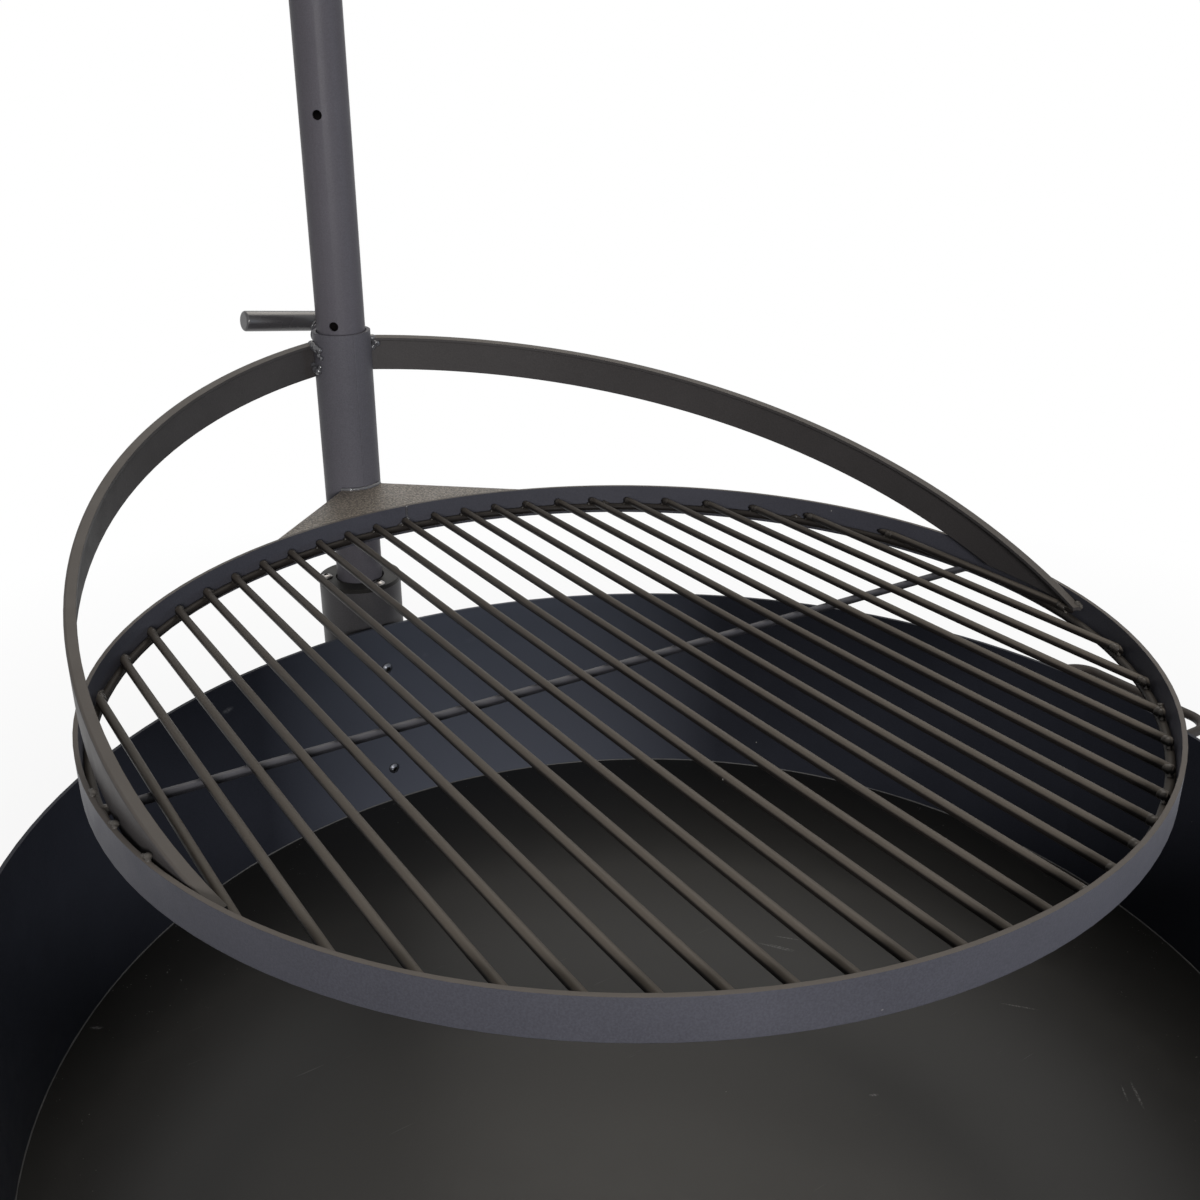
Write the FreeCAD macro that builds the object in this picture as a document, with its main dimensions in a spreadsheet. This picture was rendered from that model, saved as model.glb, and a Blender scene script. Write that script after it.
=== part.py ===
import FreeCAD, Part
import os
import Sketcher
from FreeCAD import Vector

# A round fire pit with a swivelling grill grate. The grate hangs from a sleeve on a post,
# the post turns in a socket bolted to the pit's wall, and a hand screw locks the sleeve.
# Origin: the pit's centre on the ground. +Z is up and +Y points from the pit to the post.

SIZES = {
    # fire pit: rolled sheet ring with a floor disc flush with the ground
    "pit_diameter": 900,
    "pit_sheet": 3,
    "pit_height": 190,
    "floor_sheet": 3,
    # lifting handles: bent round bar, welded to the outside of the wall
    "handle_bar": 8,
    "handle_half_width": 68,
    "handle_reach": 54,
    "handle_bend": 20,
    "handle_drop": 20,
    "handle_turn": -1.6,
    # socket: upright tube behind the wall, held by a flat bar and two screws
    "mount_gap": 5.95,
    "mount_width": 40,
    "mount_bottom": 15,
    "mount_length": 155,
    "mount_saddle": 2,
    "socket_diameter": 76.1,
    "socket_wall": 2.9,
    "socket_rise": 33,
    "socket_base": 4,
    "pad_sheet": 4,
    "pad_clearance": 0.2,
    "lower_bush_height": 20,
    "upper_bush_height": 16,
    "bush_clearance": 0.05,
    "lug_ring_height": 12,
    "cap_sheet": 4,
    "cap_hole_clearance": 1.3,
    # screws
    "thread_diameter": 6,
    "screw_hole_clearance": 0.3,
    "screw_circle": 63,
    "screw_azimuth": -82,
    "cap_screw_head": 12,
    "cap_screw_length": 14,
    "wall_screw_head": 10.5,
    "wall_screw_length": 8,
    "wall_screw_low": 38,
    "wall_screw_spacing": 109,
    "head_height": 3.3,
    "head_rim": 0.9,
    "socket_hex": 4,
    "socket_depth": 1.8,
    "seat_gap": 0.05,
    # post, measured up from the hoop's top edge
    "post_diameter": 42.4,
    "post_wall": 2.6,
    "post_rise": 560,
    "post_hole": 8,
    "post_hole_drop": 68.2,
    "post_hole_pitch": 172.4,
    "post_hole_azimuth": 50,
    "post_cap_sheet": 3,
    "post_cap_plug": 14,
    "post_cap_clearance": 0.1,
    # sleeve that slides on the post, above and below the hoop's top edge
    "sleeve_diameter": 50.8,
    "sleeve_wall": 3.25,
    "sleeve_below": 28,
    "sleeve_above": 140,
    # grate: hoop on edge, a round ring rod inside it and the bars on top of the rod
    "hoop_diameter": 700,
    "hoop_sheet": 3,
    "hoop_width": 25,
    "hoop_rise": 130,
    "hoop_reach": 437,
    "rod_diameter": 6,
    "ring_gap": 0.5,
    "ring_drop": 18.5,
    "bar_pitch": 28,
    "bar_shift": -4.8,
    "bar_end_gap": 3,
    "grate_turn": 1.8,
    "cross_rod_offset": 12.7,
    # plate between hoop and sleeve
    "gusset_sheet": 4,
    "gusset_half_width": 115,
    "gusset_apex_angle": 45,
    # arch: two bent angle bars from the sleeve (root) down to the inside of the hoop (foot)
    "arch_radius": 486,
    "arch_roll": -10.49,
    "arch_foot_azimuth": -20.04,
    "arch_foot_overlap": 0.05,
    "arch_foot_drop": 6.44,
    "arch_root_side": 3.7,
    "arch_root_past": 17.28,
    "arch_root_drop": 7.46,
    "arch_leg": 31,
    "arch_flange": 7.5,
    "arch_sheet": 2.5,
    "arch_heel": 1.5,
    # lock: leaning screw behind the sleeve, with a cross bar as its handle
    "lock_lean": 26,
    "lock_drop": 29,
    "lock_screw": 12,
    "lock_clearance": 0.05,
    "boss_diameter": 24,
    "boss_end": 46,
    "tip_start": 30,
    "tip_clearance": 0.4,
    "tip_gap": 0.3,
    "bar_centre": 63.2,
    "lock_bar": 18,
    "lock_bar_long": 69.5,
    "lock_bar_short": 25,
    "lock_bar_edge": 2.2,
    "lock_bar_turn": 7.5,
}
BAR_COUNT = 24
BARS_LEFT = 11
POST_HOLES = 4
CAP_SCREWS = 3
WALL_SCREWS = 2
SAME = 0.001

doc = FreeCAD.newDocument("PitGrill")
sheet = doc.addObject("Spreadsheet::Sheet", "Dims")
for row, (alias, size) in enumerate(SIZES.items(), start=1):
    sheet.set(f"A{row}", alias.replace("_", " "))
    sheet.set(f"B{row}", str(size))
    sheet.setAlias(f"B{row}", alias)
doc.recompute()

# Sizes that several pieces share, written once as formulas of the sheet's cells.
PIT_OUTSIDE = "Dims.pit_diameter / 2"
PIT_INSIDE = "(Dims.pit_diameter / 2 - Dims.pit_sheet)"
SOCKET_OUTSIDE = "Dims.socket_diameter / 2"
SOCKET_INSIDE = "(Dims.socket_diameter / 2 - Dims.socket_wall)"
POST_OUTSIDE = "Dims.post_diameter / 2"
POST_INSIDE = "(Dims.post_diameter / 2 - Dims.post_wall)"
POST_BOTTOM = "(Dims.socket_base + Dims.pad_sheet)"
SLEEVE_OUTSIDE = "Dims.sleeve_diameter / 2"
SLEEVE_INSIDE = "(Dims.sleeve_diameter / 2 - Dims.sleeve_wall)"
POST_Y = "(Dims.pit_diameter / 2 + Dims.mount_gap + Dims.socket_diameter / 2)"
HOOP_Y = f"({POST_Y} - Dims.hoop_reach)"
HOOP_TOP = "(Dims.pit_height + Dims.hoop_rise)"
SOCKET_TOP = "(Dims.pit_height + Dims.socket_rise)"
SLEEVE_TOP = f"({HOOP_TOP} + Dims.sleeve_above)"
SLEEVE_BOTTOM = f"({HOOP_TOP} - Dims.sleeve_below)"
POST_TOP = f"({HOOP_TOP} + Dims.post_rise)"
LOCK_HEIGHT = f"({SLEEVE_TOP} - Dims.lock_drop)"
HOOP_OUTSIDE = "Dims.hoop_diameter / 2"
HOOP_INSIDE = "(Dims.hoop_diameter / 2 - Dims.hoop_sheet)"
ROD = "Dims.rod_diameter / 2"
RING_RADIUS = f"({HOOP_INSIDE} - Dims.ring_gap - {ROD})"
RING_TOP = f"({HOOP_TOP} - Dims.ring_drop + {ROD})"
THREAD = "Dims.thread_diameter / 2"
TALL = f"({POST_TOP} * 2)"
LEAN = "(Dims.lock_lean * 1 deg)"
UPRIGHT = "rotation(vector(0; 0; 1); 0)"

nodes = []


def number(formula):
    result = sheet.evalExpression(formula)
    return float(getattr(result, "Value", result))


def keep(thing, label):
    thing.Label = label
    nodes.append(thing)
    return thing


def bind(thing, **formulas):
    for name, formula in formulas.items():
        thing.setExpression(name, formula)


def placement(x="0", y="0", z="0", turn=UPRIGHT):
    return f"placement(vector({x}; {y}; {z}); {turn})"


def primitive(kind, name, where, **sizes):
    solid = doc.addObject(f"Part::{kind}", name)
    bind(solid, Placement=placement(**where), **sizes)
    return solid


def cylinder(name, radius, height, **where):
    return primitive("Cylinder", name, where, Radius=radius, Height=height)


def boolean(kind, name, base, tool):
    result = doc.addObject(f"Part::{kind}", name)
    result.Base = base
    result.Tool = tool
    return result


def cut(name, base, tool):
    return boolean("Cut", name, base, tool)


def fuse(name, pieces):
    result = doc.addObject("Part::MultiFuse", name)
    result.Shapes = pieces
    return result


def tube(name, outside, inside, height, **where):
    return cut(name, cylinder(f"{name}_outside", outside, height, **where),
               cylinder(f"{name}_bore", inside, height, **where))


def body(name, **where):
    piece = doc.addObject("PartDesign::Body", name)
    bind(piece, Placement=placement(**where))
    return piece


def sketch(owner, name, role="XY_Plane", offset=None):
    drawing = owner.newObject("Sketcher::SketchObject", name)
    plane = next(item for item in owner.Origin.OriginFeatures if item.Role == role)
    drawing.AttachmentSupport = [(plane, "")]
    drawing.MapMode = "FlatFace"
    if offset:
        bind(drawing, AttachmentOffset=offset)
    return drawing


def hold(drawing, kind, *places, to=None):
    if to is None:
        drawing.addConstraint(Sketcher.Constraint(kind, *places))
        return
    value = number(to)
    if kind == "Angle":
        value = FreeCAD.Units.Quantity(f"{value} deg")
    index = drawing.addConstraint(Sketcher.Constraint(kind, *places, value))
    drawing.setExpression(f"Constraints[{index}]", to)


def pin_point(drawing, geometry, vertex, x, y):
    # Ties one point of the drawing to a place given by two formulas; "0" means on the axis.
    if x == "0":
        hold(drawing, "PointOnObject", geometry, vertex, -2)
    else:
        hold(drawing, "DistanceX", -1, 1, geometry, vertex, to=x)
    if y == "0":
        hold(drawing, "PointOnObject", geometry, vertex, -1)
    else:
        hold(drawing, "DistanceY", -1, 1, geometry, vertex, to=y)


def circle(drawing, radius, x="0", y="0"):
    centre = Vector(number(x), number(y), 0)
    index = drawing.addGeometry(Part.Circle(centre, Vector(0, 0, 1), number(radius)))
    pin_point(drawing, index, 3, x, y)
    hold(drawing, "Radius", index, to=radius)


def polygon(drawing, corners):
    points = [Vector(number(x), number(y), 0) for x, y in corners]
    count = len(points)
    first = drawing.GeometryCount
    for index in range(count):
        drawing.addGeometry(Part.LineSegment(points[index], points[(index + 1) % count]))
    for index in range(count):
        hold(drawing, "Coincident", first + index, 2, first + (index + 1) % count, 1)
    for index, (x, y) in enumerate(corners):
        pin_point(drawing, first + index, 1, x, y)


def ring_sector(drawing, outside, inside, start, end):
    # Two arcs about the drawing's origin, closed by two straight lines that point at it.
    angles = [FreeCAD.Units.Quantity(f"{number(angle)} deg").getValueAs("rad").Value
              for angle in (start, end)]
    centre = Vector(0, 0, 0)
    for radius in (outside, inside):
        ring = Part.Circle(centre, Vector(0, 0, 1), number(radius))
        index = drawing.addGeometry(Part.ArcOfCircle(ring, angles[0], angles[1]))
        hold(drawing, "Coincident", index, 3, -1, 1)
        hold(drawing, "Radius", index, to=radius)
    for vertex, angle in ((1, start), (2, end)):
        inner = drawing.getPoint(1, vertex)
        outer = drawing.getPoint(0, vertex)
        line = drawing.addGeometry(Part.LineSegment(inner, outer))
        hold(drawing, "Coincident", line, 1, 1, vertex)
        hold(drawing, "Coincident", line, 2, 0, vertex)
        hold(drawing, "PointOnObject", -1, 1, line)
        hold(drawing, "Angle", line, to=f"{angle} * 1 deg")


def pad(owner, name, drawing, length):
    feature = owner.newObject("PartDesign::Pad", name)
    feature.Profile = drawing
    bind(feature, Length=length)
    return feature


def pocket(owner, name, drawing, may_miss=False):
    # Cuts right through, against the drawing's normal, and takes some metal away, unless it
    # is a clearance that the piece may already have.
    doc.recompute()
    before = owner.Shape.Volume
    feature = owner.newObject("PartDesign::Pocket", name)
    feature.Profile = drawing
    feature.Type = "ThroughAll"
    doc.recompute()
    if not may_miss and not owner.Shape.Volume < before:
        raise RuntimeError(f"{owner.Name}: {name} cuts nothing")
    return feature


# Fire pit

wall = body("PitWall")
wall_plan = sketch(wall, "WallPlan")
circle(wall_plan, PIT_OUTSIDE)
circle(wall_plan, PIT_INSIDE)
pad(wall, "WallSheet", wall_plan, "Dims.pit_height")
wall_holes = sketch(wall, "WallHoles", "XZ_Plane")
screw_heights = ["Dims.wall_screw_low"]
for index in range(1, WALL_SCREWS):
    screw_heights.append(f"(Dims.wall_screw_low + {index} * Dims.wall_screw_spacing)")
for height in screw_heights:
    circle(wall_holes, f"{THREAD} + Dims.screw_hole_clearance", y=height)
pocket(wall, "ScrewHoles", wall_holes)
keep(wall, "pit_wall")

keep(cylinder("PitFloor", PIT_INSIDE, "Dims.floor_sheet"), "pit_floor")


def handle(side, turn):
    # A flat U of round bar: two legs, two quarter bends and the grip, cut to the wall's curve.
    bar = "Dims.handle_bar / 2"
    grip_x = f"({PIT_OUTSIDE} + Dims.handle_reach)"
    bend_x = f"({grip_x} - Dims.handle_bend)"
    bend_y = "(Dims.handle_half_width - Dims.handle_bend)"
    height = "(Dims.pit_height - Dims.handle_drop)"
    inner_x = "(Dims.pit_diameter / 2 - Dims.handle_bend)"
    pieces = [cylinder(f"Grip{side}", bar, f"2 * {bend_y}", x=grip_x, y=f"-{bend_y}",
                       z=height, turn="rotation(vector(1; 0; 0); -90)")]
    for end, sign in (("A", 1), ("B", -1)):
        pieces.append(cylinder(f"Leg{side}{end}", bar, f"{bend_x} - {inner_x}", x=inner_x,
                               y=f"{sign} * Dims.handle_half_width", z=height,
                               turn="rotation(vector(0; 1; 0); 90)"))
        bend_turn = 0 if sign > 0 else -90
        where = {"x": bend_x, "y": f"{sign} * {bend_y}", "z": height,
                 "turn": f"rotation(vector(0; 0; 1); {bend_turn})"}
        bend = primitive("Torus", f"Bend{side}{end}", where, Radius1="Dims.handle_bend",
                         Radius2=bar, Angle3="90")
        pieces.append(bend)
    blank = fuse(f"HandleBar{side}", pieces)
    drum = cylinder(f"WallDrum{side}", PIT_OUTSIDE, "Dims.pit_height")
    trimmed = cut(f"Handle{side}", blank, drum)
    bind(trimmed, Placement=placement(turn=f"rotation(vector(0; 0; 1); {turn} + Dims.handle_turn)"))
    keep(trimmed, f"handle_{side.lower()}")


handle("Right", 0)
handle("Left", 180)

# Socket tube with its base, bushes, lug ring and cap, all on the post's axis

keep(tube("SocketTube", SOCKET_OUTSIDE, SOCKET_INSIDE, SOCKET_TOP, y=POST_Y), "socket_tube")
keep(cylinder("SocketBase", SOCKET_INSIDE, "Dims.socket_base", y=POST_Y), "socket_base")
BUSH_BORE = f"({POST_OUTSIDE} + Dims.bush_clearance)"
keep(tube("LowerBush", SOCKET_INSIDE, BUSH_BORE, "Dims.lower_bush_height",
          y=POST_Y, z="Dims.socket_base"), "lower_bush")
keep(cylinder("ThrustPad", f"{BUSH_BORE} - Dims.pad_clearance", "Dims.pad_sheet",
              y=POST_Y, z="Dims.socket_base"), "thrust_pad")
LUG_BOTTOM = f"({SOCKET_TOP} - Dims.lug_ring_height)"
keep(tube("UpperBush", SOCKET_INSIDE, BUSH_BORE, "Dims.upper_bush_height",
          y=POST_Y, z=f"{LUG_BOTTOM} - Dims.upper_bush_height"), "upper_bush")


def screwed_plate(name, label, outside, thickness, hole, bottom):
    # A round plate with the post's hole in the middle and the screws' circle of holes.
    plate = body(name, y=POST_Y, z=bottom)
    plan = sketch(plate, f"{name}Plan")
    circle(plan, outside)
    circle(plan, f"{POST_OUTSIDE} + Dims.cap_hole_clearance")
    pad(plate, f"{name}Sheet", plan, thickness)
    for index in range(CAP_SCREWS):
        angle = f"((Dims.screw_azimuth + {index} * 360 / {CAP_SCREWS}) * 1 deg)"
        above = placement(z=thickness)
        drilled = sketch(plate, f"{name}Hole{index + 1}", offset=above)
        circle(drilled, hole, x=f"Dims.screw_circle / 2 * cos({angle})",
               y=f"Dims.screw_circle / 2 * sin({angle})")
        pocket(plate, f"{name}Drill{index + 1}", drilled)
    keep(plate, label)


screwed_plate("LugRing", "lug_ring", SOCKET_INSIDE, "Dims.lug_ring_height", THREAD, LUG_BOTTOM)
screwed_plate("SocketCap", "socket_cap", SOCKET_OUTSIDE, "Dims.cap_sheet",
              f"{THREAD} + Dims.screw_hole_clearance", SOCKET_TOP)


def button_screw(name, head, length, **where):
    # Domed head with a six-sided socket, standing on z = 0, with the thread below it.
    drop = "(Dims.head_height - Dims.head_rim)"
    dome_radius = f"((({head})^2 + {drop}^2) / (2 * {drop}))"
    blank = cylinder(f"{name}Blank", head, "Dims.head_height")
    dome = primitive("Sphere", f"{name}Dome", {"z": f"Dims.head_height - {dome_radius}"},
                     Radius=dome_radius)
    rounded = boolean("Common", f"{name}Head", blank, dome)
    socket = primitive("Prism", f"{name}Socket", {"z": "Dims.head_height - Dims.socket_depth"},
                       Circumradius="Dims.socket_hex / 2 / cos(30 deg)",
                       Height="Dims.head_height")
    head_with_socket = cut(f"{name}HeadCut", rounded, socket)
    thread = cylinder(f"{name}Thread", THREAD, length, z=f"-({length})")
    screw = fuse(name, [head_with_socket, thread])
    bind(screw, Placement=placement(**where))
    return screw


def compound(name, label, pieces):
    group = doc.addObject("Part::Compound", name)
    group.Links = pieces
    keep(group, label)


cap_screws = []
for index in range(CAP_SCREWS):
    angle = f"((Dims.screw_azimuth + {index} * 360 / {CAP_SCREWS}) * 1 deg)"
    cap_screws.append(button_screw(
        f"CapScrew{index + 1}", "Dims.cap_screw_head / 2", "Dims.cap_screw_length",
        x=f"Dims.screw_circle / 2 * cos({angle})",
        y=f"{POST_Y} + Dims.screw_circle / 2 * sin({angle})",
        z=f"{SOCKET_TOP} + Dims.cap_sheet"))
compound("CapScrews", "cap_screws", cap_screws)

wall_screws = []
for index, height in enumerate(screw_heights):
    wall_screws.append(button_screw(
        f"WallScrew{index + 1}", "Dims.wall_screw_head / 2", "Dims.wall_screw_length",
        y=f"{PIT_INSIDE} - Dims.seat_gap", z=height, turn="rotation(vector(1; 0; 0); 90)"))
compound("WallScrews", "wall_screws", wall_screws)

# Mount bar: a flat bar between wall and socket, hollowed on both faces to fit their curves
MOUNT_DEPTH = "(Dims.mount_gap + 2 * Dims.mount_saddle)"
bar_blank = primitive("Box", "MountBlank",
                      {"x": "-Dims.mount_width / 2", "y": f"{PIT_OUTSIDE} - Dims.mount_saddle",
                       "z": "Dims.mount_bottom"},
                      Length="Dims.mount_width", Width=MOUNT_DEPTH, Height="Dims.mount_length")
mount_tools = [cylinder("MountWallDrum", PIT_OUTSIDE, TALL),
               cylinder("MountSocketDrum", SOCKET_OUTSIDE, TALL, y=POST_Y)]
for index, height in enumerate(screw_heights):
    mount_tools.append(cylinder(f"MountHole{index + 1}", THREAD, "Dims.mount_width",
                                y=f"{PIT_OUTSIDE} - Dims.mount_width / 2", z=height,
                                turn="rotation(vector(1; 0; 0); -90)"))
keep(cut("MountBar", bar_blank, fuse("MountTools", mount_tools)), "mount_bar")

# Post: tube cross-drilled at an even pitch, with a plug in its top

post = body("Post", y=POST_Y, z=POST_BOTTOM,
            turn="rotation(vector(0; 0; 1); Dims.post_hole_azimuth - 90)")
post_plan = sketch(post, "PostPlan")
circle(post_plan, POST_OUTSIDE)
circle(post_plan, POST_INSIDE)
pad(post, "PostTube", post_plan, f"{POST_TOP} - {POST_BOTTOM}")
hole_sheet = sketch(post, "PostHoles", "XZ_Plane", placement(z="Dims.post_diameter"))
for index in range(POST_HOLES):
    circle(hole_sheet, "Dims.post_hole / 2",
           y=f"{POST_TOP} - Dims.post_hole_drop - {index} * Dims.post_hole_pitch"
             f" - {POST_BOTTOM}")
pocket(post, "CrossHoles", hole_sheet)
keep(post, "post")

post_lid = cylinder("PostLid", POST_OUTSIDE, "Dims.post_cap_sheet", y=POST_Y, z=POST_TOP)
post_plug = cylinder("PostPlug", f"{POST_INSIDE} - Dims.post_cap_clearance",
                     "Dims.post_cap_plug", y=POST_Y, z=f"{POST_TOP} - Dims.post_cap_plug")
keep(fuse("PostCap", [post_lid, post_plug]), "post_cap")

# Sleeve, with the lock screw's hole through its back wall


def on_lock_axis(distance):
    # A place on the lock screw's axis and the turn that points +Z outward along it.
    return {"y": f"{POST_Y} + {distance} * cos({LEAN})",
            "z": f"{LOCK_HEIGHT} + {distance} * sin({LEAN})",
            "turn": "rotation(vector(1; 0; 0); Dims.lock_lean - 90)"}


LOCK_BORE = "(Dims.lock_screw / 2 + Dims.lock_clearance)"
sleeve_tube = tube("SleeveTube", SLEEVE_OUTSIDE, SLEEVE_INSIDE,
                   "Dims.sleeve_above + Dims.sleeve_below", y=POST_Y, z=SLEEVE_BOTTOM)
sleeve_drill = cylinder("SleeveDrill", LOCK_BORE, "Dims.boss_end",
                        **on_lock_axis("Dims.lock_screw"))
keep(cut("Sleeve", sleeve_tube, sleeve_drill), "sleeve")

boss_blank = tube("BossBlank", "Dims.boss_diameter / 2", LOCK_BORE,
                  "Dims.boss_end - Dims.lock_screw", **on_lock_axis("Dims.lock_screw"))
boss_drum = cylinder("BossDrum", SLEEVE_OUTSIDE, TALL, y=POST_Y)
keep(cut("LockBoss", boss_blank, boss_drum), "lock_boss")

# Lock screw, its sliding tip and the cross bar

tip_blank = cylinder("TipBlank", "Dims.lock_screw / 2 - Dims.tip_clearance",
                     "Dims.tip_start - Dims.lock_screw", **on_lock_axis("Dims.lock_screw"))
tip_drum = cylinder("TipDrum", f"{POST_OUTSIDE} + Dims.tip_gap", TALL, y=POST_Y)
keep(cut("LockTip", tip_blank, tip_drum), "lock_tip")

SCREW_END = "(Dims.bar_centre + Dims.lock_bar / 2)"
keep(cylinder("LockScrew", "Dims.lock_screw / 2", f"{SCREW_END} - Dims.tip_start",
              **on_lock_axis("Dims.tip_start")), "lock_screw")

BAR_TURN = "(Dims.lock_bar_turn * 1 deg)"
BAR_DIRECTION = (f"rotation(vector(0; cos({LEAN}); sin({LEAN})); Dims.lock_bar_turn)"
                 " * rotation(vector(0; 1; 0); 90)")
ROUND_END = "(Dims.lock_bar_edge - Dims.lock_bar_long)"
BAR_FACE = "(Dims.lock_bar / 2 - Dims.lock_bar_edge)"


def on_lock_bar(distance):
    # A place on the cross bar, measured from the screw, with +Z along the bar.
    return {"x": f"{distance} * cos({BAR_TURN})",
            "y": f"{POST_Y} + Dims.bar_centre * cos({LEAN})"
                 f" + {distance} * sin({BAR_TURN}) * sin({LEAN})",
            "z": f"{LOCK_HEIGHT} + Dims.bar_centre * sin({LEAN})"
                 f" - {distance} * sin({BAR_TURN}) * cos({LEAN})",
            "turn": BAR_DIRECTION}


bar_straight = cylinder("LockBarStraight", "Dims.lock_bar / 2",
                        f"Dims.lock_bar_short - {ROUND_END}", **on_lock_bar(ROUND_END))
bar_core = cylinder("LockBarCore", BAR_FACE, "Dims.lock_bar_long + Dims.lock_bar_short",
                    **on_lock_bar("-Dims.lock_bar_long"))
bar_edge = primitive("Torus", "LockBarEdge", on_lock_bar(ROUND_END), Radius1=BAR_FACE,
                     Radius2="Dims.lock_bar_edge")
bar_blank = fuse("LockBarBlank", [bar_straight, bar_core, bar_edge])
bar_drill = cylinder("LockBarDrill", "Dims.lock_screw / 2", "Dims.lock_bar * 2",
                     **on_lock_axis("(Dims.bar_centre - Dims.lock_bar)"))
keep(cut("LockBar", bar_blank, bar_drill), "lock_bar")

# Grate: hoop, ring rod, bars and the cross rod beneath them

hoop = body("Hoop", y=HOOP_Y, z=f"{HOOP_TOP} - Dims.hoop_width")
hoop_plan = sketch(hoop, "HoopPlan")
circle(hoop_plan, HOOP_OUTSIDE)
circle(hoop_plan, HOOP_INSIDE)
pad(hoop, "HoopBar", hoop_plan, "Dims.hoop_width")
keep(hoop, "hoop")

ring = primitive("Torus", "RingRod", {"y": HOOP_Y, "z": f"{HOOP_TOP} - Dims.ring_drop"},
                 Radius1=RING_RADIUS, Radius2=ROD)
keep(ring, "inner_ring")

GRATE_TURN = "rotation(vector(0; 0; 1); -Dims.grate_turn)"
BAR_AXIS_UP = f"({RING_TOP} + {ROD})"
BAR_REACH = f"({HOOP_INSIDE} - Dims.bar_end_gap)"
for index in range(BAR_COUNT):
    step = index - BARS_LEFT
    rod = cylinder(f"BarRod{index + 1}", ROD, f"2 * {HOOP_OUTSIDE}",
                   x=f"{step} * Dims.bar_pitch + Dims.bar_shift", y=f"-{HOOP_OUTSIDE}",
                   turn="rotation(vector(1; 0; 0); -90)")
    disc = cylinder(f"BarDisc{index + 1}", BAR_REACH, "Dims.hoop_width",
                    z="-Dims.hoop_width / 2")
    bar = boolean("Common", f"Bar{index + 1}", rod, disc)
    bind(bar, Placement=placement(y=HOOP_Y, z=BAR_AXIS_UP, turn=GRATE_TURN))
    keep(bar, f"grill_bar_{index + 1:02d}")

CROSS_TURN = "(Dims.grate_turn * 1 deg)"
cross_blank = cylinder("CrossBlank", ROD, f"2 * {RING_RADIUS}",
                       x=f"-{RING_RADIUS} * cos({CROSS_TURN})",
                       y=f"{HOOP_Y} + Dims.cross_rod_offset"
                         f" + {RING_RADIUS} * sin({CROSS_TURN})",
                       z=f"{HOOP_TOP} - Dims.ring_drop",
                       turn=f"{GRATE_TURN} * rotation(vector(0; 1; 0); 90)")
cross_reach = cylinder("CrossReach", f"({RING_RADIUS} - {ROD})", "Dims.hoop_width",
                       y=HOOP_Y, z=f"{HOOP_TOP} - Dims.ring_drop - Dims.hoop_width / 2")
keep(boolean("Common", "CrossRod", cross_blank, cross_reach), "cross_rod")

# Gusset plate: level with the hoop's top, from the hoop's back to the sleeve's front

gusset = body("Gusset", z=f"{HOOP_TOP} - Dims.gusset_sheet")
TIP_Y = f"({HOOP_Y} + sqrt(({HOOP_OUTSIDE})^2 - Dims.gusset_half_width^2))"
APEX_X = f"({SLEEVE_OUTSIDE} * sin(Dims.gusset_apex_angle * 1 deg))"
APEX_Y = f"({POST_Y} - {SLEEVE_OUTSIDE} * cos(Dims.gusset_apex_angle * 1 deg))"
SPARE = "0.05"
front_x = f"(Dims.gusset_half_width + {SPARE} * (Dims.gusset_half_width - {APEX_X}))"
front_y = f"({TIP_Y} - {SPARE} * ({APEX_Y} - {TIP_Y}))"
back_x = f"({APEX_X} - {SPARE} * (Dims.gusset_half_width - {APEX_X}))"
back_y = f"({APEX_Y} + {SPARE} * ({APEX_Y} - {TIP_Y}))"
gusset_plan = sketch(gusset, "GussetPlan")
polygon(gusset_plan, [(f"-{front_x}", front_y), (front_x, front_y),
                      (back_x, back_y), (f"-{back_x}", back_y)])
pad(gusset, "GussetSheet", gusset_plan, "Dims.gusset_sheet")
gusset_cuts = sketch(gusset, "GussetCuts", offset=placement(z="Dims.gusset_sheet"))
circle(gusset_cuts, HOOP_OUTSIDE, y=HOOP_Y)
circle(gusset_cuts, SLEEVE_OUTSIDE, y=POST_Y)
pocket(gusset, "GussetCurves", gusset_cuts)
keep(gusset, "gusset_plate")

# Arch: each half is an angle bar bent in a leaning plane, with its leg hanging straight down

FOOT_RADIUS = f"({HOOP_INSIDE} + Dims.arch_foot_overlap)"
FOOT_X = f"({FOOT_RADIUS} * cos(Dims.arch_foot_azimuth * 1 deg))"
FOOT_Y = f"({HOOP_Y} + {FOOT_RADIUS} * sin(Dims.arch_foot_azimuth * 1 deg))"
FOOT_Z = f"({HOOP_TOP} - Dims.arch_foot_drop)"
FOOT_LEVEL = f"({RING_TOP} + Dims.rod_diameter + Dims.seat_gap)"
CHORD_X = f"(Dims.arch_root_side - {FOOT_X})"
CHORD_Y = f"({POST_Y} + Dims.arch_root_past - {FOOT_Y})"
CHORD_Z = f"({SLEEVE_TOP} - Dims.arch_root_drop - {FOOT_Z})"
CHORD = f"sqrt({CHORD_X}^2 + {CHORD_Y}^2 + {CHORD_Z}^2)"
CHORD_TO_CENTRE = f"sqrt(Dims.arch_radius^2 - {CHORD}^2 / 4)"
HALF_SPAN = f"(asin({CHORD} / (2 * Dims.arch_radius)) / (1 deg))"


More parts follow.
